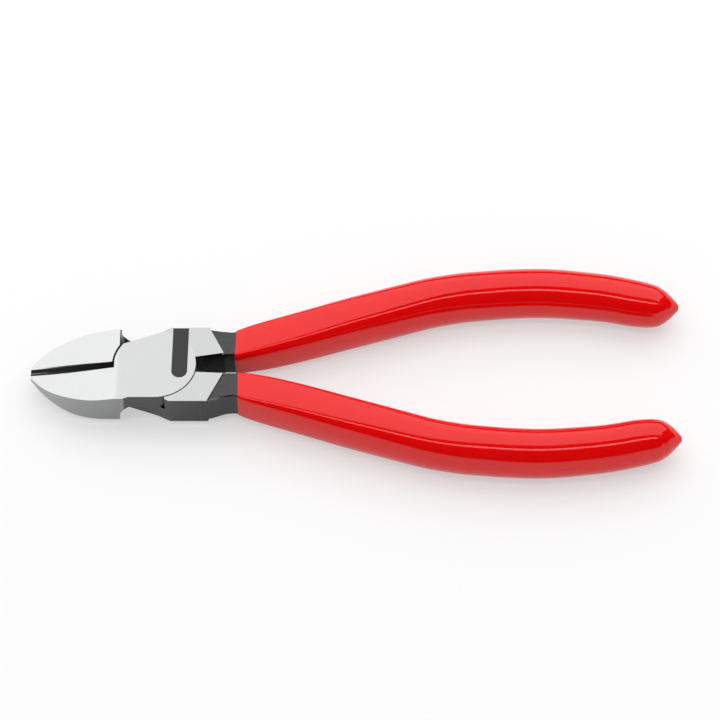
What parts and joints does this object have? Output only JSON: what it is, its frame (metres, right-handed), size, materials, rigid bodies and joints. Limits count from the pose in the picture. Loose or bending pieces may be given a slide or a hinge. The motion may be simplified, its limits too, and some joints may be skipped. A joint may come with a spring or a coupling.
{
  "type": "diagonal cutting pliers",
  "caption": "Diagonal cutting pliers: tapered jaws with bevelled edges, a round lap joint and long curved handles in smooth dipped grips, for cutting wire.",
  "frame": {"origin": "on the pivot axis, at the flat back face of the joint", "axes": "+X from the pivot to the handle ends, so the jaws point to -X; +Z along the pivot, from the back face to the front face; +Y to the side of the front half's handle"},
  "size_m": [0.1603, 0.0606, 0.0121],
  "materials": {
    "tool_steel": "ground and polished head, dark oxide on the necks",
    "rivet_steel": "ground flush",
    "grip_vinyl": "glossy dipped vinyl"
  },
  "bodies": {
    "front_lever": {"front_half": "tool_steel", "front_half_grip": "grip_vinyl", "joint_rivet": "rivet_steel"},
    "rear_lever": {"rear_half": "tool_steel", "rear_half_grip": "grip_vinyl"}
  },
  "joints": [
    {"name": "pivot", "type": "hinge", "parent": "front_lever", "child": "rear_lever", "pos_m": [0, 0, 0.00425], "axis": [0, 0, -1], "range_deg": [0, 27]}
  ]
}
